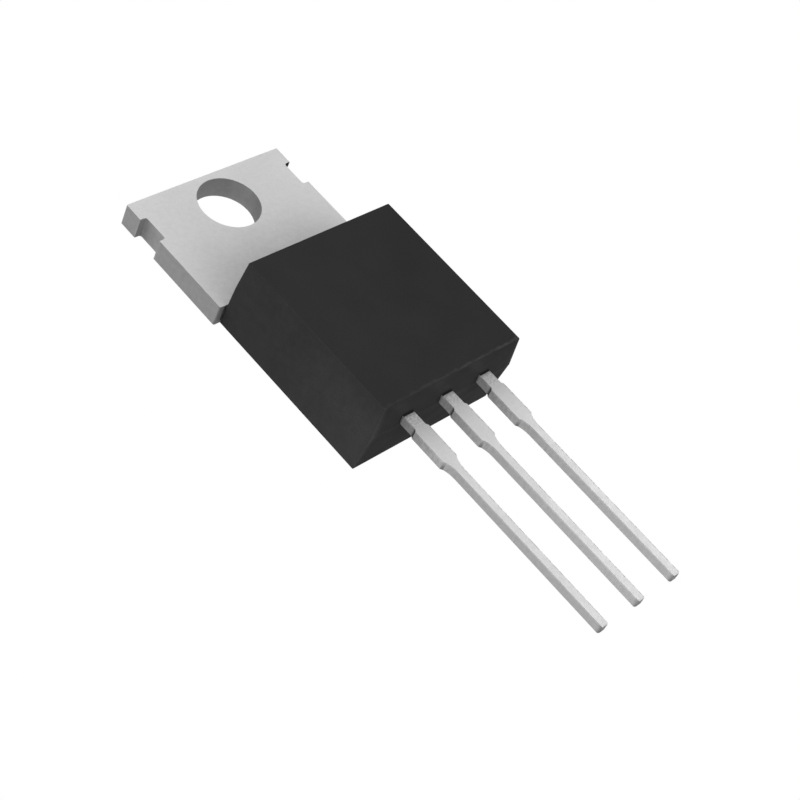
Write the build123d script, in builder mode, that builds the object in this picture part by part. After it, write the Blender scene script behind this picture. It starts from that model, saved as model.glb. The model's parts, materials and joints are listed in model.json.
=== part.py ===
# Power MOSFET in a three-lead, tab-mounted plastic package.
#
# Frame: the origin is the centre of the mounting hole on the back face of the tab. +Z comes out of
# the front face, the leads run towards -Y, and X goes across the leads. The back of the tab is Z = 0.
# Units are millimetres and degrees.
import os
from math import radians, tan

from build123d import *

os.makedirs("parts", exist_ok=True)

# --- tab and heat slug: one thick stamping with the drain lead ---------------------------------------
tab_width = 9.6
tab_thickness = 1.22
tab_corner_radius = 0.04
hole_diameter = 3.24
hole_rim = 0.34                 # metal left between the hole and the free end of the tab
shoulder_reach = 5.08           # from the hole to where the tab steps in to the narrower heat slug
shoulder_radius = 0.08
notch_depth = 0.36
notch_length = 1.47
notch_centre = 0.18             # the notches sit this far past the hole, towards the free end
notch_radius = 0.13
rebate_width = 0.35             # step round the back of the slug, which keys it into the epoxy
rebate_height = 0.55

# --- moulded epoxy body, measured at its parting line where it is widest -------------------------------
body_gap = 0.07                 # sliver of slug that shows between the tab shoulder and the moulding
body_length = 9.73
body_width = 9.22
body_height = 4.44              # front face above the back of the tab
body_standoff = 0.15            # the moulding stops this far above the back of the tab
upper_side_draft = 3.9
upper_end_draft = 5.0
lower_side_draft = 1.9
lower_end_draft = 4.2
tab_wall_lean = 3.35            # the wall on the tab side leans back evenly from back to front
body_corner_radius = 0.05
front_edge_radius = 0.05

# --- leads -------------------------------------------------------------------------------------------
lead_pitch = 2.54
lead_thickness = 0.50
lead_back_height = 2.69         # back of the leads above the back of the tab; also the parting line
lead_width = 0.40
neck_width = 0.66               # between the body and the collar
neck_length = 0.80
collar_width = 0.85             # wide part that stops on the circuit board
collar_length = 1.98
collar_ramp = 0.11              # both ends of the collar slant over this length
collar_step = 0.10              # how far each side slants in where the collar ends
throat_length = 0.75            # the lead narrows to its full fineness over this length
lead_length = 12.68             # from the lead end of the body to the tip
tip_radius = 0.11               # rounding of the tip on all four sides

# --- inside the body ---------------------------------------------------------------------------------
slug_side_cover = 0.44          # epoxy beside the slug
slug_end_cover = 3.26           # epoxy between the end of the slug and the lead end of the body
strap_width = 1.5               # bent strap that joins the drain lead to the slug
strap_lap = 0.5                 # flat length of strap that is part of the slug's top
strap_foot = 0.5                # from the end of the slug to the strap's lower bend
strap_run = 1.4                 # from the strap's upper bend to the lead end of the body
strap_bend_radius = 0.30        # inside radius of both bends
post_length = 1.30              # bonding posts at the inner ends of the gate and source leads
post_setback = 0.90             # epoxy between the posts and the lead end of the body
post_gap = 0.45                 # epoxy between the strap and each post
post_cover = 0.75               # epoxy between each post and the side of the body
post_radius = 0.15
solder_thickness = 0.06
die_thickness = 0.28
die_side_margin = 1.9           # bare slug on each side of the die
die_tab_margin = 1.1            # bare slug between the die and the tab
die_lead_margin = 0.6           # bare slug between the die and the end of the slug
gate_pad_inset = 0.45           # the gate pad's middle is this far inside two edges of the die
gate_wire_diameter = 0.13
source_wire_diameter = 0.30
source_wire_spacing = 0.75
wire_bend_radius = 0.35
wire_climb = 0.40               # share of a wire's reach over which it rises to its loop
wire_descent = 0.28             # share of its reach over which it comes down again
wire_seat = 0.01                # the round wire starts this far above the pad, inside its flat foot

# --- places worked out from those sizes --------------------------------------------------------------
tab_end = hole_diameter / 2 + hole_rim
slug_start = -shoulder_reach
body_tab_end = slug_start - body_gap
body_lead_end = body_tab_end - body_length
slug_end = body_lead_end + slug_end_cover
slug_width = body_width - 2 * slug_side_cover
shoulder_step = (tab_width - slug_width) / 2
lead_top = lead_back_height + lead_thickness
lead_tip = body_lead_end - lead_length
strap_top_bend = body_lead_end + strap_run
post_outer_end = body_lead_end + post_setback
post_inner_end = post_outer_end + post_length
post_middle = (post_inner_end + post_outer_end) / 2
die_top = tab_thickness + solder_thickness + die_thickness
die_width = slug_width - 2 * die_side_margin
die_tab_edge = body_tab_end - die_tab_margin
die_lead_edge = slug_end + die_lead_margin
die_middle = (die_tab_edge + die_lead_edge) / 2
parting = Plane.XY.offset(lead_back_height)


def lead_strip(centre_x, inner_end):
    """Flat outline of one lead, from inner_end inside the body to its tip."""
    collar_start = body_lead_end - neck_length
    collar_end = collar_start - collar_length
    with BuildSketch() as strip:
        with BuildLine():
            collar = Polyline(
                (0, inner_end),
                (neck_width / 2, inner_end),
                (neck_width / 2, collar_start),
                (collar_width / 2, collar_start - collar_ramp),
                (collar_width / 2, collar_end),
                (collar_width / 2 - collar_step, collar_end - collar_ramp),
            )
            throat = TangentArc(
                (lead_width / 2, collar_end - throat_length), collar @ 1, tangent=(0, 1)
            )
            Polyline(throat @ 0, (lead_width / 2, lead_tip), (0, lead_tip))
            mirror(about=Plane.YZ)
        make_face()
    return Location((centre_x, 0)) * strip.sketch


def round_tip(lead):
    """Round the four edges of the face at the very end of a lead."""
    fillet(lead.faces().sort_by(Axis.Y)[0].edges(), tip_radius)


def bond_wire(diameter, die_spot, post_spot):
    """Wedge-bonded wire in an upright plane: flat foot on the die, loop, flat foot on the post."""
    reach = Vector(*post_spot) - Vector(*die_spot)
    rise = lead_top - die_top
    side_on = Plane(
        origin=(*die_spot, die_top), x_dir=(reach.X, reach.Y, 0), z_dir=(reach.Y, -reach.X, 0)
    )
    foot_length = 2 * diameter
    foot_width = 1.5 * diameter
    foot_height = diameter / 2
    start_height = diameter / 2 + wire_seat
    loop_height = (body_height + lead_top) / 2 - die_top
    with BuildPart() as wire:
        with BuildSketch(side_on):
            with Locations((0, foot_height / 2), (reach.length, rise + foot_height / 2)):
                Rectangle(foot_length, foot_height)
        extrude(amount=foot_width / 2, both=True)
        with BuildLine(side_on) as loop:
            FilletPolyline(
                (0, start_height),
                (wire_bend_radius, start_height),
                (reach.length * wire_climb, loop_height),
                (reach.length * (1 - wire_descent), loop_height),
                (reach.length - wire_bend_radius, rise + start_height),
                (reach.length, rise + start_height),
                radius=wire_bend_radius,
            )
        with BuildSketch(Plane(origin=loop.line @ 0, z_dir=loop.line % 0)):
            Circle(diameter / 2)
        sweep()
    return wire.part


def mould_half(depth, side_draft, end_draft):
    """One half of the mould cavity, from the parting line to depth above it (below if negative)."""
    sense = 1 if depth > 0 else -1
    with BuildPart() as half:
        with BuildSketch(parting):
            with Locations((0, (body_tab_end + body_lead_end) / 2)):
                Rectangle(body_width, body_length)
        extrude(amount=depth)
        draft(half.faces().filter_by(Axis.X), parting, sense * side_draft)
        draft(half.faces().sort_by(Axis.Y)[0], parting, sense * end_draft)
    return half.part


# --- drain leadframe: tab, heat slug, bent strap and centre lead in one piece -------------------------
with BuildPart() as drain_strap:
    with BuildSketch(Plane.YZ):
        with BuildLine():
            underside = FilletPolyline(
                (slug_end + strap_lap, tab_thickness - lead_thickness),
                (slug_end - strap_foot, tab_thickness - lead_thickness),
                (strap_top_bend, lead_back_height),
                (lead_tip, lead_back_height),
                radius=(strap_bend_radius + lead_thickness, strap_bend_radius),
            )
            offset(underside, amount=lead_thickness, side=Side.RIGHT)
        make_face()
    extrude(amount=strap_width, both=True)
    with BuildSketch():
        with Locations((0, (slug_end + strap_lap + strap_top_bend) / 2)):
            Rectangle(strap_width, slug_end + strap_lap - strap_top_bend)
        add(lead_strip(0, strap_top_bend))
    extrude(amount=lead_top + lead_thickness, mode=Mode.INTERSECT)
    round_tip(drain_strap)

with BuildPart() as drain_leadframe:
    with BuildSketch():
        with Locations((0, (tab_end + slug_start) / 2)):
            Rectangle(tab_width, tab_end - slug_start)
        with Locations((0, (slug_start + slug_end) / 2)):
            Rectangle(slug_width, slug_start - slug_end)
    extrude(amount=tab_thickness)
    upright = drain_leadframe.edges().filter_by(Axis.Z).group_by(Axis.Y)
    fillet(upright[-1], tab_corner_radius)
    shoulder = drain_leadframe.edges().filter_by(Axis.Z).filter_by_position(
        Axis.Y, slug_start - shoulder_radius, slug_start + shoulder_radius
    )
    shoulder_corners = shoulder.group_by(Axis.X)[0] + shoulder.group_by(Axis.X)[-1]
    fillet(shoulder_corners, min(shoulder_radius, shoulder_step / 2))
    with BuildSketch() as notch:
        with Locations((tab_width / 2, notch_centre), (-tab_width / 2, notch_centre)):
            Rectangle(2 * notch_depth, notch_length)
        fillet(notch.vertices(), notch_radius)
    extrude(amount=tab_thickness, mode=Mode.SUBTRACT)
    Hole(hole_diameter / 2)
    with BuildSketch():
        with Locations((0, (body_tab_end + slug_end) / 2)):
            Rectangle(slug_width, body_tab_end - slug_end)
        with Locations((0, (body_tab_end + slug_end + rebate_width) / 2)):
            Rectangle(
                slug_width - 2 * rebate_width,
                body_tab_end - slug_end - rebate_width,
                mode=Mode.SUBTRACT,
            )
    extrude(amount=rebate_height, mode=Mode.SUBTRACT)
    add(drain_strap.part)
drain_leadframe.part.label = "drain_leadframe"

# --- gate and source leads: the same stamping, mirrored -----------------------------------------------
with BuildPart() as source_lead:
    post_inner_edge = strap_width / 2 + post_gap
    post_outer_edge = body_width / 2 - post_cover
    with BuildSketch(parting) as post:
        with Locations(((post_inner_edge + post_outer_edge) / 2, post_middle)):
            Rectangle(post_outer_edge - post_inner_edge, post_length)
        fillet(post.vertices(), post_radius)
        add(lead_strip(lead_pitch, post_middle))
    extrude(amount=lead_thickness)
    round_tip(source_lead)
source_lead.part.label = "source_lead"

with BuildPart() as gate_lead:
    mirror(source_lead.part, about=Plane.YZ)
gate_lead.part.label = "gate_lead"

# --- solder layer and the silicon die on it ------------------------------------------------------------
with BuildPart() as solder_layer:
    with BuildSketch(Plane.XY.offset(tab_thickness)) as die_outline:
        with Locations((0, die_middle)):
            Rectangle(die_width, die_tab_edge - die_lead_edge)
    extrude(amount=solder_thickness)
solder_layer.part.label = "solder_layer"

with BuildPart() as silicon_die:
    extrude(die_outline.sketch.moved(Location((0, 0, solder_thickness))), amount=die_thickness)
silicon_die.part.label = "silicon_die"

# --- bond wires -----------------------------------------------------------------------------------------
gate_pad = (gate_pad_inset - die_width / 2, die_lead_edge + gate_pad_inset)
gate_wire = bond_wire(gate_wire_diameter, gate_pad, (-lead_pitch, post_middle))
gate_wire.label = "gate_wire"

source_wires = []
for number, side_step in enumerate((-source_wire_spacing / 2, source_wire_spacing / 2), start=1):
    source_pad = (die_width / 4 + side_step, die_middle)
    source_wire = bond_wire(source_wire_diameter, source_pad, (lead_pitch + side_step, post_middle))
    source_wire.label = f"source_wire_{number}"
    source_wires.append(source_wire)

# --- moulded epoxy body: two drafted mould halves, cast round everything above --------------------------
with BuildPart() as moulded_body:
    add(mould_half(body_height - lead_back_height, upper_side_draft, upper_end_draft))
    add(mould_half(body_standoff - lead_back_height, lower_side_draft, lower_end_draft))
    tab_wall = Plane(origin=(0, body_tab_end, body_standoff), x_dir=(1, 0, 0), z_dir=(0, 1, 0))
    split(bisect_by=tab_wall.rotated((tab_wall_lean, 0, 0)), keep=Keep.BOTTOM)
    fillet(moulded_body.edges().filter_by(Plane.XY, reverse=True), body_corner_radius)
    fillet(moulded_body.faces().sort_by(Axis.Z)[-1].edges(), front_edge_radius)
    for piece in (drain_leadframe, source_lead, gate_lead, solder_layer, silicon_die):
        add(piece.part, mode=Mode.SUBTRACT)
    add((gate_wire, *source_wires), mode=Mode.SUBTRACT)
moulded_body.part.label = "moulded_body"

# --- one file for each piece ------------------------------------------------------------------------------
pieces = [b.part for b in (moulded_body, drain_leadframe, gate_lead, source_lead, solder_layer, silicon_die)]
for piece in (*pieces, gate_wire, *source_wires):
    export_step(piece, f"parts/{piece.label}.step")
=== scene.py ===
# %% [markdown]
# # A power transistor in a moulded package
#
# The real part is small enough to lie on a fingertip. A thick plated tab with a screw hole carries
# the heat away, a black epoxy block is moulded round the chip, and three flat leads come out of its
# lower end. The packed model already has every solid in its right shape and place, so this lesson
# is about finish: what tin plating, sheared edges and moulded epoxy look like close up, and how a
# few nodes can say that.

import json
from math import radians

import bpy
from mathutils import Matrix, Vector


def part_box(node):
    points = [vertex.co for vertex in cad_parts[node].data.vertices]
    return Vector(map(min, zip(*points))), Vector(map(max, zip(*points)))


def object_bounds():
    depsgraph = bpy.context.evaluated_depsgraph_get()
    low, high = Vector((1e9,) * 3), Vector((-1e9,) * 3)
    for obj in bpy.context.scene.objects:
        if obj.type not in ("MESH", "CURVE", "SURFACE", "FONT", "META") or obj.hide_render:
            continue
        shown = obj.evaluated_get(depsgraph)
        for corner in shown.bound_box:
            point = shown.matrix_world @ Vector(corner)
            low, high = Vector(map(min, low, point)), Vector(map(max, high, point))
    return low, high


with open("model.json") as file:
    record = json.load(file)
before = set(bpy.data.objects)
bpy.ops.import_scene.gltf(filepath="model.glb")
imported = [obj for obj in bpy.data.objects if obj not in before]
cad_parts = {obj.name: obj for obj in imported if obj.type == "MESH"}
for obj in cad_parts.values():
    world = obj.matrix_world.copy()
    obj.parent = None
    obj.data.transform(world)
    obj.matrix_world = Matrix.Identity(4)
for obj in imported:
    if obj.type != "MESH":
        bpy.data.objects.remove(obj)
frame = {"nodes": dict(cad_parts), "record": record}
cad_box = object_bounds()
nodes = frame["nodes"]
print("nodes:", ", ".join(sorted(nodes)))
print("box in mm:", [tuple(round(1000 * c, 2) for c in corner) for corner in cad_box])

# %% [markdown]
# ## Where things are
#
# A finish often depends on the place: painted shade darkens the plating beside the moulding, and a
# lead's cut end is bare. Those places could be typed in, but the packed solids already know them, so
# each one is read from the box of the piece that sets it. Everything is in metres.

# %% Read the places that the finishes need
MM = 0.001
body_low, body_high = (Vector(c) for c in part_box("moulded_body"))
drain_low, drain_high = (Vector(c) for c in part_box("drain_leadframe"))
source_low, source_high = (Vector(c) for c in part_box("source_lead"))
moulding_tab_side = body_high.y
moulding_lead_side = body_low.y
lead_tip = drain_low.y
lead_back = source_low.z
lead_front = source_high.z
print("moulding, mm:", round(moulding_lead_side / MM, 2), "to", round(moulding_tab_side / MM, 2))
print("leads above the back, mm:", round(lead_back / MM, 2), "to", round(lead_front / MM, 2))

# %% [markdown]
# ## The camera
#
# The part is looked at from above its left side, a little from the lead end, with the camera rolled
# so that the leads run down to the right. A long lens keeps the far end of the tab and the lead tips
# at nearly the same scale. The camera could aim at an empty with a constraint, but three plain
# angles also give the roll, and they stay put when the part changes. The part is so near to the
# lens that the usual clipping distance would hide it.

# %% Place the camera
lens = bpy.data.cameras.new("long_lens")
lens.lens = 82.495
lens.sensor_width = 36.0
lens.clip_start = 0.005
camera = bpy.data.objects.new("camera", lens)
bpy.context.scene.collection.objects.link(camera)
camera.location = (-0.053424, -0.038659, 0.060833)
camera.rotation_euler = (radians(40.916), radians(-19.303), radians(-43.447))
bpy.context.scene.camera = camera
bpy.context.scene.view_settings.view_transform = "Standard"
part_middle = (Vector(cad_box[0]) + Vector(cad_box[1])) / 2
print("camera is", round((camera.location - part_middle).length / MM, 1), "mm away")

# %% [markdown]
# ## A floor and a backdrop that throw no shadow
#
# Small parts are often shown on a lit white table inside a white tent, so that they cast no shadow
# at all. Two stage pieces do that here: a flat table just under the part and a large ball round
# everything. Both glow white for the camera and are hidden from every other ray, so they neither
# shade the part nor light it. A shadow catcher would be the other way, but there is no shadow to
# catch.

# %% A white table and a white tent
def white_glow(name):
    """Plain white that shines just enough to reach pure white in the picture."""
    glow = bpy.data.materials.new(name)
    glow.use_nodes = True
    shader = glow.node_tree.nodes["Principled BSDF"]
    shader.inputs["Base Color"].default_value = (0, 0, 0, 1)
    shader.inputs["Specular IOR Level"].default_value = 0
    shader.inputs["Emission Color"].default_value = (1, 1, 1, 1)
    shader.inputs["Emission Strength"].default_value = 1.0
    return glow


def for_the_camera_only(stage_piece):
    stage_piece.visible_diffuse = False
    stage_piece.visible_glossy = False
    stage_piece.visible_transmission = False
    stage_piece.visible_volume_scatter = False
    stage_piece.visible_shadow = False


table_width = 1.2
table_drop = 0.02 * MM
tent_radius = table_width / 2

bpy.ops.object.select_all(action="DESELECT")
bpy.ops.mesh.primitive_plane_add(size=table_width, location=(0, 0, -table_drop))
table = bpy.context.object
table.name = "light_table"
table.data.materials.append(white_glow("lit_white_acrylic"))
for_the_camera_only(table)

bpy.ops.mesh.primitive_uv_sphere_add(segments=48, ring_count=24, radius=tent_radius)
tent = bpy.context.object
tent.name = "light_tent"
tent.data.materials.append(white_glow("lit_white_cloth"))
for_the_camera_only(tent)
print("stage:", table.name, "and", tent.name)

# %% [markdown]
# ## Soft studio light
#
# A softbox that stands well away from a part this small is only a bright patch on the sky, so the
# world itself can hold the lamps. Each patch is the cosine of the angle from its middle, raised to a
# power: a round glow with no edge, about as wide as a softbox at its own width's distance. Ten of them
# make the studio. The strongest stands level behind the tab, and the three from below stand for the
# light that a pale table throws back. Area lamps would do as well, but they need a distance and a
# size each, and they are noisier in rough metal.

# %% Paint the softboxes on the sky
glow_power = 6
softboxes = {
    "high_beyond_the_leads": ((0, -1, 1), 1.90),
    "level_beyond_the_leads": ((0, -1, 0), 1.03),
    "level_behind_the_tab": ((0, 1, 0), 4.15),
    "high_behind_the_tab": ((0, 1, 1), 0.81),
    "high_behind_on_the_left": ((-1, 1, 1), 0.78),
    "level_behind_on_the_left": ((-1, 1, 0), 0.29),
    "bounce_from_below_left": ((-1, 0, -1), 0.99),
    "level_on_the_right": ((1, 0, 0), 0.50),
    "bounce_from_below_right": ((1, 0, -1), 0.22),
    "bounce_from_below_behind": ((1, 1, -1), 0.60),
}

world = bpy.data.worlds.new("studio")
world.use_nodes = True
bpy.context.scene.world = world
sky = world.node_tree
background = sky.nodes["Background"]
background.inputs["Color"].default_value = (1, 1, 1, 1)
sky_place = sky.nodes.new("ShaderNodeTexCoord")
total = None
for box_name, (towards, level) in softboxes.items():
    aim = sky.nodes.new("ShaderNodeVectorMath")
    aim.operation = "DOT_PRODUCT"
    aim.label = box_name
    aim.inputs[1].default_value = Vector(towards).normalized()
    sky.links.new(sky_place.outputs["Generated"], aim.inputs[0])
    front_half = sky.nodes.new("ShaderNodeMath")
    front_half.operation = "MAXIMUM"
    front_half.inputs[1].default_value = 0
    sky.links.new(aim.outputs["Value"], front_half.inputs[0])
    glow = sky.nodes.new("ShaderNodeMath")
    glow.operation = "POWER"
    glow.inputs[1].default_value = glow_power
    sky.links.new(front_half.outputs[0], glow.inputs[0])
    lamp = sky.nodes.new("ShaderNodeMath")
    lamp.operation = "MULTIPLY_ADD"
    lamp.inputs[1].default_value = level
    lamp.inputs[2].default_value = 0
    sky.links.new(glow.outputs[0], lamp.inputs[0])
    if total is not None:
        sky.links.new(total, lamp.inputs[2])
    total = lamp.outputs[0]
sky.links.new(total, background.inputs["Strength"])
print("softboxes:", ", ".join(softboxes))

# %% [markdown]
# ## A short way to write nodes
#
# A procedural finish is a handful of small sums on a point's place, its normal and a noise. Clicking
# those nodes together by hand is quick. In a script the same graph reads best when each node is one
# call, so this small helper builds a material and hands back sockets that feed the next call. Nearly
# all of a Noise texture lies between 0.3 and 0.7, so that is the span that a drift is stretched from.

# %% A bench for building a finish
noise_span = (0.3, 0.7)


class Finish:
    """One material under construction, with the sockets that most finishes start from."""

    def __init__(self, name):
        self.material = bpy.data.materials.new(name)
        self.material.use_nodes = True
        self.tree = self.material.node_tree
        self.shader = self.tree.nodes["Principled BSDF"]
        start = self.tree.nodes.new("ShaderNodeTexCoord")
        self.place = start.outputs["Object"]
        split_place = self.node("ShaderNodeSeparateXYZ", self.place)
        self.x, self.y, self.z = split_place.outputs
        split_normal = self.node("ShaderNodeSeparateXYZ", start.outputs["Normal"])
        self.facing_x, self.facing_y, self.facing_z = split_normal.outputs

    def node(self, kind, *inputs, **settings):
        """Add a node, set its options, and give it numbers or link it to sockets in order."""
        new = self.tree.nodes.new(kind)
        for setting, value in settings.items():
            setattr(new, setting, value)
        for socket, value in zip(new.inputs, inputs):
            self.feed(socket, value)
        return new

    def feed(self, socket, value):
        """Link a socket to another, or set its number."""
        if isinstance(value, bpy.types.NodeSocket):
            self.tree.links.new(value, socket)
        else:
            socket.default_value = value

    def calc(self, operation, *values):
        """One step of arithmetic, as the Math node names it."""
        return self.node("ShaderNodeMath", *values, operation=operation).outputs[0]

    def product(self, first, *others):
        """All of the values multiplied together, from left to right."""
        for other in others:
            first = self.calc("MULTIPLY", first, other)
        return first

    def fade(self, value, start, end, low=0.0, high=1.0):
        """Go smoothly from low at start to high at end, and stay there."""
        ramp = self.node("ShaderNodeMapRange", value, interpolation_type="SMOOTHSTEP")
        for name, number in (("From Min", start), ("From Max", end), ("To Min", low), ("To Max", high)):
            self.feed(ramp.inputs[name], number)
        return ramp.outputs["Result"]

    def noise(self, size, detail=2.0, stretch=(1, 1, 1)):
        """Soft noise between 0 and 1 whose lumps are about size across, in metres."""
        scaled = self.node("ShaderNodeMapping", self.place)
        scaled.inputs["Scale"].default_value = [s / size for s in stretch]
        lumps = self.node("ShaderNodeTexNoise", scaled.outputs[0])
        lumps.inputs["Scale"].default_value = 1.0
        lumps.inputs["Detail"].default_value = detail
        return lumps.outputs[0]

    def drift(self, size, low, high, detail=2.0, stretch=(1, 1, 1)):
        """A value that wanders between low and high in lumps about size across."""
        return self.fade(self.noise(size, detail, stretch), *noise_span, low, high)

    def blend(self, share, first, second):
        """First where share is 0, second where it is 1."""
        mix = self.node("ShaderNodeMix", share, data_type="FLOAT")
        self.feed(mix.inputs[2], first)
        self.feed(mix.inputs[3], second)
        return mix.outputs[0]

    def grey(self, level):
        """A neutral colour of that level, on the shader's base colour."""
        colour = self.node("ShaderNodeCombineColor", level, level, level)
        self.tree.links.new(colour.outputs[0], self.shader.inputs["Base Color"])

    def roughness(self, size, low, high):
        """A roughness that drifts between low and high."""
        self.feed(self.shader.inputs["Roughness"], self.drift(size, low, high))

    def relief(self, height, depth):
        """Small relief: height is a 0 to 1 socket, depth is how many metres 1 stands for."""
        bump = self.node("ShaderNodeBump")
        bump.inputs["Strength"].default_value = 1.0
        bump.inputs["Distance"].default_value = depth
        self.feed(bump.inputs["Height"], height)
        self.feed(self.shader.inputs["Normal"], bump.outputs[0])


print("the bench has", len([word for word in vars(Finish) if not word.startswith("_")]), "tools")

# %% [markdown]
# ## Tin plating on stamped copper
#
# The tab and the leads are stamped from one copper strip and then plated with matt tin. Six things
# show on it. The rolled faces are pale and even, with a faint cloud left by the bath. The sheared
# walls are finely streaked from back to front, because the punch tore them, and coarsest on the
# collars; they are also darker than the faces, partly painted shade for the light that a wall misses,
# most of all on the outer leads' outer walls, with painted light in the notches and painted shade in
# the hole and on one step of a notch. A fine burr, broken into specks, runs down one edge of each
# lead. Close to the moulding the plating carries painted shade, most of all in the middle of the tab
# and at the roots and walls of the leads, and the necks of the leads are mottled. A dark line of
# resin flash edges each lead where it leaves the moulding. Faces that look towards the tips carry
# painted shade, on the tab's walls, at the ends of the collars and at the lead tips, whose cut is
# bare as well; a neck's wall and its ramp onto the collar carry painted shade just above the collar;
# and painted light brightens the top of each lead's wall and the faces of the leads towards their
# tips. A painted texture could hold all that, but every one of those follows from a place or a
# direction, so sums on the object's own coordinates put them exactly where they belong, and they stay
# there when a size changes.

# %% Places on the stamping
zone_edge = 0.1 * MM
lead_pitch = 2.54 * MM
neck_length = 0.8 * MM
collar_length = 2.0 * MM
throat_length = 0.75 * MM
collar_start = moulding_lead_side - neck_length
collar_end = collar_start - collar_length
below_collar = collar_end - 1.0 * MM
collar_half_width = 0.425 * MM
fine_half_width = 0.20 * MM
notch_half_length = 0.74 * MM
notch_middle = 0.18 * MM
notch_floor = drain_high.x - 0.36 * MM
hole_radius = next(m for m in frame["record"]["mounts"] if m["kind"] == "bore")["dims"]["r_mm"] * MM
print("collars end", round(collar_end / MM, 2), "mm from the hole")

# %% How far the marks and the painted shades reach
# Painted shade on the tab's face beside the moulding, lifted towards the tab's side edges.
moulding_shade_end = -0.5 * MM
lit_edge_start = 2.0 * MM
mottle_end = moulding_lead_side - 0.6 * MM
# Painted shade at the root of each lead.
root_shade_length = 0.25 * MM
burr_width = 0.05 * MM
# Painted shade: on a neck's wall above its collar, and near the lead tips.
step_shade = 0.10 * MM
tip_shade = 0.25 * MM
# Painted highlight along the top edge of each lead's wall.
wall_highlight_depth = 0.15 * MM
flash_low = moulding_lead_side - 0.06 * MM
flash_full = moulding_lead_side - 0.02 * MM
flash_fades = moulding_lead_side + 0.3 * MM
flash_ends = moulding_lead_side + 0.4 * MM
# How far the painted shade reaches on the tab.
print("the tab is dulled over", round((moulding_shade_end - moulding_tab_side) / MM, 2), "mm")

# %% How pale each surface is, from 0 to 1
tab_face = 0.82
# The walls are darker than the faces, partly painted shade; notch_wall lifts the notches with painted
# light.
tab_wall = 0.505
notch_wall = 0.57
# Painted shade inside the hole.
hole_wall = 0.50
lead_face = 0.94
lead_wall = 0.79
# Painted shade: the outer leads' outer walls and the walls beside the moulding.
shaded_outer_wall = 0.91 * lead_wall
lead_wall_moulding_shade = 0.90 * lead_wall
# Painted shade on the lead faces towards the tips, darker towards the back, and on each collar's ramp.
tip_facing_shade_back = 0.38
tip_facing_shade_front = 0.75
collar_step = 0.25
# The tips are bare cut and also in painted shade.
tip_cut = 0.49
# Black painted shade on one step of a notch.
far_notch_step = 0.1 * notch_wall
resin_flash = 0.06
print("the leads' faces are", round(lead_face / tab_face, 2), "times as pale as the tab's")


# %% Where on the tab a point is
def tab_zones(tin, facing_tip):
    """Shares from 0 to 1 for the places on the tab."""
    from_middle = tin.calc("ABSOLUTE", tin.x)
    from_hole = tin.calc(
        "SQRT", tin.calc("ADD", tin.calc("POWER", tin.x, 2), tin.calc("POWER", tin.y, 2))
    )
    from_notch = tin.calc("ABSOLUTE", tin.calc("SUBTRACT", tin.y, notch_middle))
    at_notch = tin.product(
        tin.fade(from_middle, notch_floor - zone_edge, notch_floor),
        tin.fade(from_notch, notch_half_length, notch_half_length + zone_edge, 1, 0),
    )
    return {
        "in_hole": tin.fade(from_hole, hole_radius + zone_edge, hole_radius + 2 * zone_edge, 1, 0),
        "at_notch": at_notch,
        # Black painted shade on the far notch's step.
        "far_notch_step": tin.product(at_notch, facing_tip, tin.fade(tin.x, 0, zone_edge)),
        # Painted shade beside the moulding, and where it lifts along the tab's side edges.
        "beside_moulding": tin.fade(tin.y, moulding_tab_side, moulding_shade_end, 1, 0),
        "clean_edge": tin.fade(from_middle, lit_edge_start, drain_high.x),
    }


# %% Where on a lead a point is
def across_lead(finish):
    """How far a point is to the right of the nearest lead's middle, in leads' pitches."""
    pitches = finish.calc("DIVIDE", finish.x, lead_pitch)
    return finish.calc("SUBTRACT", pitches, finish.calc("ROUND", pitches))


def lead_zones(tin, on_leads, facing_tip):
    """Shares from 0 to 1 for the places along and across the leads."""
    half_width = tin.fade(
        tin.y, collar_end - throat_length, collar_end, fine_half_width, collar_half_width
    )
    from_edge = tin.calc("SUBTRACT", half_width, tin.product(across_lead(tin), lead_pitch))
    at_tip = tin.fade(tin.y, lead_tip, lead_tip + tip_shade, 1, 0)
    near_tip = tin.fade(tin.y, lead_tip + tip_shade, lead_tip + 2 * tip_shade, 1, 0)
    return {
        # Painted shade on the faces towards the tips and on the collars' ramps; the tips are bare cut
        # too.
        "collar_cut": tin.product(on_leads, facing_tip),
        "collar_step": tin.product(on_leads, tin.fade(tin.facing_y, 0.35, 0.55)),
        "tip_cut": tin.calc("MAXIMUM", at_tip, tin.product(facing_tip, near_tip)),
        "neck": tin.fade(tin.y, collar_start - zone_edge, mottle_end),
        # Painted shade on a neck's wall just above its collar.
        "above_step": tin.product(
            tin.fade(tin.y, collar_start, collar_start + step_shade, 1, 0),
            tin.fade(tin.y, collar_start - step_shade / 2, collar_start - step_shade / 4),
        ),
        "burr": tin.product(
            tin.fade(from_edge, 0.4 * burr_width, burr_width, 1, 0),
            tin.fade(tin.noise(0.14 * MM), 0.42, 0.58),
        ),
        "outside": tin.fade(tin.calc("ABSOLUTE", tin.x), lead_pitch, lead_pitch + zone_edge),
        "above_collar_end": tin.fade(tin.y, below_collar, collar_end),
        "resin_flash": tin.product(
            tin.fade(tin.y, flash_low, flash_full),
            tin.fade(tin.y, flash_fades, flash_ends, 1, 0),
            tin.fade(tin.facing_z, 0.3, 0.7, 0.3, 1.0),
        ),
    }


# %% How pale the rolled faces are
def tab_face_tone(tin, zone):
    """The tab's face, darkened with painted shade towards the moulding, but less so along its edges."""
    # Painted shade: darker beside the moulding, less so along the side edges.
    lit_edge_share = tin.product(zone["beside_moulding"], zone["clean_edge"])
    return tin.product(
        tin.fade(tin.y, moulding_tab_side, moulding_shade_end, 0.88, 1.03),
        tin.calc("MULTIPLY_ADD", lit_edge_share, 0.12, 1.0),
        tab_face,
    )


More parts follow.
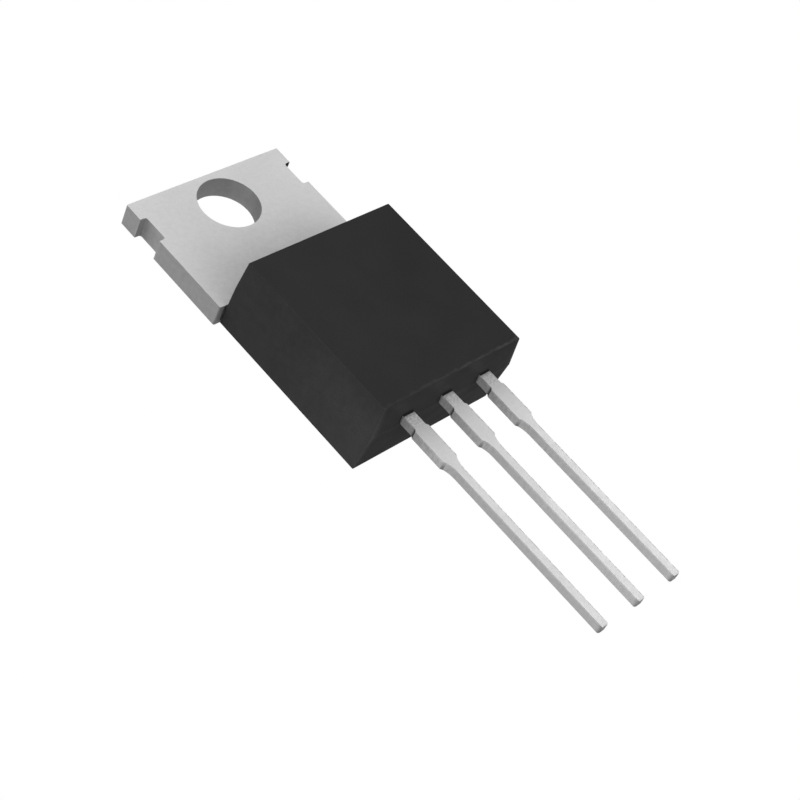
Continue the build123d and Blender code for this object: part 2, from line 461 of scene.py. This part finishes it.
def lead_face_tone(tin, zone):
    """A lead's face: painted shade at the root, mottled neck, burr specks, painted light towards the
    tip.
    """
    mottle = tin.drift(0.10 * MM, -0.10, 0.08)
    return tin.product(
        # Painted light: a little paler towards the tip.
        tin.fade(tin.y, lead_tip, moulding_lead_side, 1.01, 0.98),
        # A little paler towards the source lead.
        tin.fade(tin.x, -lead_pitch, lead_pitch, 0.99, 1.03),
        # Painted shade at the root, beside the moulding.
        tin.fade(tin.y, moulding_lead_side - root_shade_length, moulding_lead_side, 1.0, 0.72),
        tin.calc("MULTIPLY_ADD", mottle, zone["neck"], 1.0),
        tin.blend(zone["burr"], 1.0, 0.70),
        lead_face,
    )


# %% How pale the sheared walls are
def lead_wall_tone(tin, zone):
    """A torn lead wall: painted highlight on top, painted shade by the moulding and tips, bare cut
    tips.
    """
    torn = tin.drift(0.15 * MM, -0.06, 0.06, detail=3.0, stretch=(1, 1, 0.6))
    tear_strength = tin.fade(tin.y, below_collar, collar_end, 0.3, 1.0)
    # Painted shade on the outer leads' outer walls.
    shaded_outside = tin.product(zone["outside"], tin.calc("SUBTRACT", 1.0, zone["above_collar_end"]))
    # Painted shade towards the moulding.
    inner_wall = tin.fade(tin.y, collar_end, moulding_lead_side, lead_wall, lead_wall_moulding_shade)
    tone = tin.product(
        tin.blend(shaded_outside, inner_wall, shaded_outer_wall),
        # Painted highlight along the wall's top edge.
        tin.fade(tin.z, lead_front - wall_highlight_depth, lead_front, 0.99, 1.10),
        tin.calc("MULTIPLY_ADD", torn, tear_strength, 1.0),
        # Painted shade just above the collar.
        tin.blend(zone["above_step"], 1.0, 0.55),
    )
    # Painted shade on the faces towards the tips, darker towards the back.
    collar_cut = tin.fade(tin.z, lead_back, lead_front, tip_facing_shade_back, tip_facing_shade_front)
    tone = tin.blend(zone["collar_cut"], tone, collar_cut)
    tone = tin.blend(zone["collar_step"], tone, collar_step)
    # The tips: bare, torn cut, darkened further with painted shade.
    torn_tip = tin.product(tin.calc("MULTIPLY_ADD", torn, 3.0, 1.0), tip_cut)
    return tin.blend(zone["tip_cut"], tone, torn_tip)


def tab_wall_tone(tin, zone):
    """The tab's wall: painted light in the notches, painted shade facing the tips, black on one step.
    """
    # Painted light lifts the notches.
    tone = tin.blend(zone["at_notch"], tab_wall, notch_wall)
    # Painted shade on the walls that face the tips.
    tone = tin.product(tone, tin.blend(zone["facing_tip"], 1.0, 0.82))
    return tin.blend(zone["far_notch_step"], tone, far_notch_step)


def hole_wall_tone(tin):
    """The hole's wall, in painted shade: paler away from the leads, a little darker at the far end."""
    return tin.product(
        tin.fade(tin.y, -0.8 * hole_radius, 0.35 * hole_radius, 0.50 * hole_wall, 1.15 * hole_wall),
        tin.fade(tin.y, 0.55 * hole_radius, 0.8 * hole_radius, 1.0, 0.94),
    )


# %% Tin plating
def tin_plating(name):
    """Matt tin over a stamped strip, with its rolled faces, sheared walls and cut ends."""
    tin = Finish(name)
    on_leads = tin.fade(tin.z, lead_back - 2 * zone_edge, lead_back - zone_edge)
    facing_tip = tin.fade(tin.facing_y, -0.70, -0.45, 1, 0)
    rolled = tin.fade(tin.calc("ABSOLUTE", tin.facing_z), 0.55, 0.85)
    zone = {"facing_tip": facing_tip}
    zone.update(tab_zones(tin, facing_tip))
    zone.update(lead_zones(tin, on_leads, facing_tip))

    cloud = tin.drift(2.4 * MM, 0.988, 1.012)
    speck = tin.drift(0.12 * MM, 0.987, 1.013)
    streak = tin.drift(0.10 * MM, 0.985, 1.015, stretch=(1, 1, 0.08))
    face = tin.blend(on_leads, tab_face_tone(tin, zone), lead_face_tone(tin, zone))
    wall = tin.blend(on_leads, tab_wall_tone(tin, zone), lead_wall_tone(tin, zone))
    wall = tin.blend(zone["in_hole"], wall, hole_wall_tone(tin))
    level = tin.blend(rolled, tin.product(streak, wall), tin.product(cloud, speck, face))
    tin.grey(tin.blend(zone["resin_flash"], level, resin_flash))
    tin.shader.inputs["Metallic"].default_value = 1.0
    tin.roughness(0.3 * MM, 0.80, 0.90)
    tin.relief(tin.noise(0.05 * MM), 0.002 * MM)
    return tin.material


matt_tin = tin_plating("matt_tin")
print("tin:", len(matt_tin.node_tree.nodes), "nodes")

# %% [markdown]
# ## Moulded epoxy
#
# The body is black epoxy filled with glass powder, pressed in a steel mould whose cavity was spark
# eroded. Its skin is dead matt, with a grain of a few hundredths of a millimetre, and it is not quite
# even: the filler leaves faint lighter flow clouds and small blotches on the walls. Light and shade
# are painted on it as well: the side walls are paler than the front and paler again towards the leads
# and the back, the front is a little darker to the right and paler over the leads, a painted
# highlight runs along the front edge over the leads and is brightest towards one corner, the corners
# beside the leads are lighter, the lead end is darker above and behind the leads, and a thin dark
# ring of painted shade lies round the root of each lead. A flat black would look like a hole in the
# picture, so the base is a very dark grey and the grain is relief. The painted light could be in the
# gloss as well, but a patch of gloss mirrors whatever is near it, so the gloss is one low value and
# the painted light is in the colour alone. Only the roughness wanders a little. Scratches could be
# drawn too, but at this size they are too fine to see.

# %% Levels and places for the epoxy
epoxy_grey = 0.0315
# Painted light: the side walls are paler than the front.
lit_wall_grey = 0.0425
epoxy_gloss = 0.10
front_setback = 0.15 * MM
front_edge = moulding_lead_side + front_setback
# A painted highlight along the front edge over the leads.
highlight_full = front_edge + 0.09 * MM
highlight_end = front_edge + 0.17 * MM
# Painted light on the side walls, strongest towards the leads.
wall_light_full = moulding_lead_side + 0.4 * MM
wall_light_end = moulding_lead_side + 6.4 * MM
# Painted light on the front over the leads.
front_light_end = moulding_lead_side + 6 * MM
# Painted light at the corners beside the leads.
corner_light_width = 0.5 * MM
# Painted shade on the lead end, above and behind the leads.
end_shade_top = body_high.z - 0.2 * MM
end_shade_from = lead_front + 0.2 * MM
end_shade_below = lead_back - 0.4 * MM
neck_half_width = 0.33 * MM
lead_middle = (lead_back + lead_front) / 2
lead_half_thickness = (lead_front - lead_back) / 2
# A ring of painted shade round the root of each lead.
root_shade_width = 0.16 * MM
root_shade_squeeze = 3
# The side walls carry painted light over this length.
print("the walls are rubbed over", round((wall_light_end - wall_light_full) / MM, 1), "mm")


# %% Where on the moulding a point is
def root_shade(epoxy):
    """Painted shade, 1 at a lead's root, 0 a ring's width away, squeezed narrow beside the lead."""
    off_centre = epoxy.calc("ABSOLUTE", across_lead(epoxy))
    sideways = epoxy.calc(
        "MULTIPLY_ADD", off_centre, root_shade_squeeze * lead_pitch, -root_shade_squeeze * neck_half_width
    )
    off_level = epoxy.calc("ABSOLUTE", epoxy.calc("SUBTRACT", epoxy.z, lead_middle))
    upward = epoxy.calc("SUBTRACT", off_level, lead_half_thickness)
    offset = epoxy.node(
        "ShaderNodeCombineXYZ", epoxy.calc("MAXIMUM", sideways, 0), epoxy.calc("MAXIMUM", upward, 0)
    )
    from_lead = epoxy.node("ShaderNodeVectorMath", offset.outputs[0], operation="LENGTH")
    return epoxy.fade(from_lead.outputs["Value"], 0, root_shade_width, 1, 0)


def epoxy_zones(epoxy):
    """Shares from 0 to 1 for the places on the moulding."""
    on_lead_end = epoxy.fade(epoxy.facing_y, -0.98, -0.9, 1, 0)
    wavering = epoxy.drift(0.5 * MM, -0.08 * MM, 0.05 * MM)
    return {
        "on_wall": epoxy.fade(epoxy.calc("ABSOLUTE", epoxy.facing_x), 0.1, 0.7),
        "on_front": epoxy.fade(epoxy.facing_z, 0.8, 0.98),
        "on_lead_end": on_lead_end,
        "over_leads": epoxy.fade(epoxy.facing_y, -0.5, -0.1, 1, 0),
        "root_shade": epoxy.product(on_lead_end, root_shade(epoxy)),
        # Painted highlight along the front edge, with a wavering inner border.
        "edge_highlight": epoxy.product(
            epoxy.fade(epoxy.calc("ADD", epoxy.y, wavering), highlight_full, highlight_end, 1, 0),
            epoxy.fade(epoxy.facing_z, 0.7, 0.9),
        ),
    }


# %% Painted light and shade, and blotches, on the epoxy's skin
def wall_tone(epoxy):
    """The side walls, with painted light: paler towards the leads and the back, with small blotches."""
    # Painted light, paler towards the leads and the back.
    lightened = epoxy.product(
        epoxy.fade(epoxy.y, wall_light_full, wall_light_end, 1, 0),
        epoxy.fade(epoxy.z, lead_back, body_high.z, 1, 0.35),
    )
    blotch = epoxy.drift(0.5 * MM, 0.94, 1.06, detail=3.0)
    return epoxy.product(epoxy.calc("MULTIPLY_ADD", lightened, 0.33, 0.88), blotch)


def front_tone(epoxy):
    """The front, with painted light: a little darker to the right and paler over the leads."""
    return epoxy.product(
        epoxy.fade(epoxy.x, body_low.x, body_high.x, 0.98, 0.88),
        epoxy.fade(epoxy.y, moulding_lead_side, front_light_end, 1.03, 1.0),
    )


def end_tone(epoxy):
    """The lead end, with painted shade: darker above the leads and again behind them."""
    return epoxy.product(
        epoxy.fade(epoxy.z, end_shade_from, end_shade_top, 1.0, 0.84),
        epoxy.fade(epoxy.z, end_shade_below, lead_back, 0.82, 1.0),
    )


def epoxy_light_shade_and_blotches(epoxy, zone):
    """How much painted light and shade, and the walls' blotches, lighten or darken the skin, as a
    factor.
    """
    skin = epoxy.blend(zone["on_front"], 1.0, front_tone(epoxy))
    skin = epoxy.blend(zone["on_wall"], skin, wall_tone(epoxy))
    skin = epoxy.blend(zone["on_lead_end"], skin, end_tone(epoxy))
    # Painted shade round the root of each lead.
    skin = epoxy.blend(zone["root_shade"], skin, 0.46)
    from_middle = epoxy.calc("ABSOLUTE", epoxy.x)
    # Painted light near the corners, on the faces towards the leads.
    corner_light = epoxy.fade(from_middle, body_high.x - corner_light_width, body_high.x, 1.0, 1.6)
    skin = epoxy.product(skin, epoxy.blend(zone["over_leads"], 1.0, corner_light))
    patchy = epoxy.fade(epoxy.noise(0.6 * MM), 0.35, 0.65, 0.45, 1.15)
    # The painted highlight, stronger towards one corner and patchy.
    highlight_share = epoxy.product(epoxy.fade(epoxy.x, body_low.x, body_high.x, 0.22, 0.75), patchy)
    return epoxy.calc("MULTIPLY_ADD", zone["edge_highlight"], highlight_share, skin)


# %% Epoxy
def moulded_epoxy(name):
    """Matt black epoxy with spark-eroded grain, faint flow clouds, and painted light and shade."""
    epoxy = Finish(name)
    zone = epoxy_zones(epoxy)
    cloud = epoxy.drift(2.5 * MM, 0.95, 1.05, detail=3.0)
    speck = epoxy.drift(0.06 * MM, 0.92, 1.08)
    light_shade_and_blotches = epoxy_light_shade_and_blotches(epoxy, zone)
    # The side walls take the paler grey, painted light.
    epoxy.grey(epoxy.product(cloud, speck, light_shade_and_blotches, epoxy.blend(zone["on_wall"], epoxy_grey, lit_wall_grey)))
    epoxy.shader.inputs["Specular IOR Level"].default_value = epoxy_gloss
    epoxy.roughness(1.2 * MM, 0.48, 0.56)
    epoxy.relief(epoxy.noise(0.07 * MM), 0.004 * MM)
    return epoxy.material


black_epoxy = moulded_epoxy("epoxy_moulding")
print("epoxy:", len(black_epoxy.node_tree.nodes), "nodes")

# %% [markdown]
# ## Under the epoxy
#
# Three more finishes never show, but whoever hides the moulding finds the chip, its solder and the
# bond wires, so they are finished too. The chip has a pale metal top with fine rows of cells and dark
# sawn walls. The solder is dull and lumpy. The wires are drawn aluminium, with fine lines along their
# run.

# %% Chip
cell_row = 0.08 * MM


def silicon_chip(name):
    """Metallised top with rows of cells, dark sawn silicon walls."""
    chip = Finish(name)
    on_top = chip.fade(chip.facing_z, 0.5, 0.9)
    rows = chip.calc("FRACT", chip.calc("MULTIPLY", chip.x, 1 / cell_row))
    row_edge = chip.fade(chip.calc("ABSOLUTE", chip.calc("SUBTRACT", rows, 0.5)), 0.30, 0.45, 1.0, 0.8)
    cloud = chip.drift(1.0 * MM, 0.94, 1.06)
    saw = chip.drift(0.05 * MM, 0.8, 1.2, stretch=(1, 1, 0.1))
    top = chip.product(row_edge, cloud, 0.62)
    chip.grey(chip.blend(on_top, chip.product(saw, 0.10), top))
    chip.feed(chip.shader.inputs["Metallic"], chip.fade(chip.facing_z, 0.5, 0.9, 0.6, 1.0))
    chip.roughness(0.2 * MM, 0.28, 0.36)
    chip.relief(row_edge, 0.002 * MM)
    return chip.material


metallised_silicon = silicon_chip("metallised_silicon")
print("chip:", len(metallised_silicon.node_tree.nodes), "nodes")


# %% Solder and wires
def soft_solder(name):
    """Dull grey solder with a lumpy edge."""
    solder = Finish(name)
    lumps = solder.noise(0.25 * MM, detail=3.0)
    solder.grey(solder.fade(lumps, *noise_span, 0.42, 0.56))
    solder.shader.inputs["Metallic"].default_value = 1.0
    solder.feed(solder.shader.inputs["Roughness"], solder.fade(lumps, *noise_span, 0.50, 0.35))
    solder.relief(lumps, 0.01 * MM)
    return solder.material


def drawn_aluminium(name):
    """Soft aluminium wire, drawn through a die that left fine lines along it."""
    wire = Finish(name)
    lines = wire.noise(0.03 * MM, stretch=(1, 0.05, 0.3))
    wire.grey(wire.fade(lines, *noise_span, 0.80, 0.90))
    wire.shader.inputs["Metallic"].default_value = 1.0
    wire.roughness(0.2 * MM, 0.26, 0.34)
    wire.relief(lines, 0.001 * MM)
    return wire.material


solder = soft_solder("soft_solder")
aluminium = drawn_aluminium("drawn_aluminium")
print("solder and wire:", len(solder.node_tree.nodes), "and", len(aluminium.node_tree.nodes), "nodes")

# %% [markdown]
# ## Dressing the solids
#
# A packed solid already has one material slot with a plain stand-in. Its shape is right and stays as
# it is, so the finish goes straight into that slot. A copy could be dressed and stand in for the
# solid, which is the way for a soft piece, but here it would add nothing.

# %% Put each finish on its solid
finishes = {
    "drain_leadframe": matt_tin,
    "gate_lead": matt_tin,
    "source_lead": matt_tin,
    "moulded_body": black_epoxy,
    "silicon_die": metallised_silicon,
    "solder_layer": solder,
    "gate_wire": aluminium,
    "source_wire_1": aluminium,
    "source_wire_2": aluminium,
}
for node_name, finish in finishes.items():
    nodes[node_name].material_slots[0].material = finish
print("finished:", ", ".join(finishes))
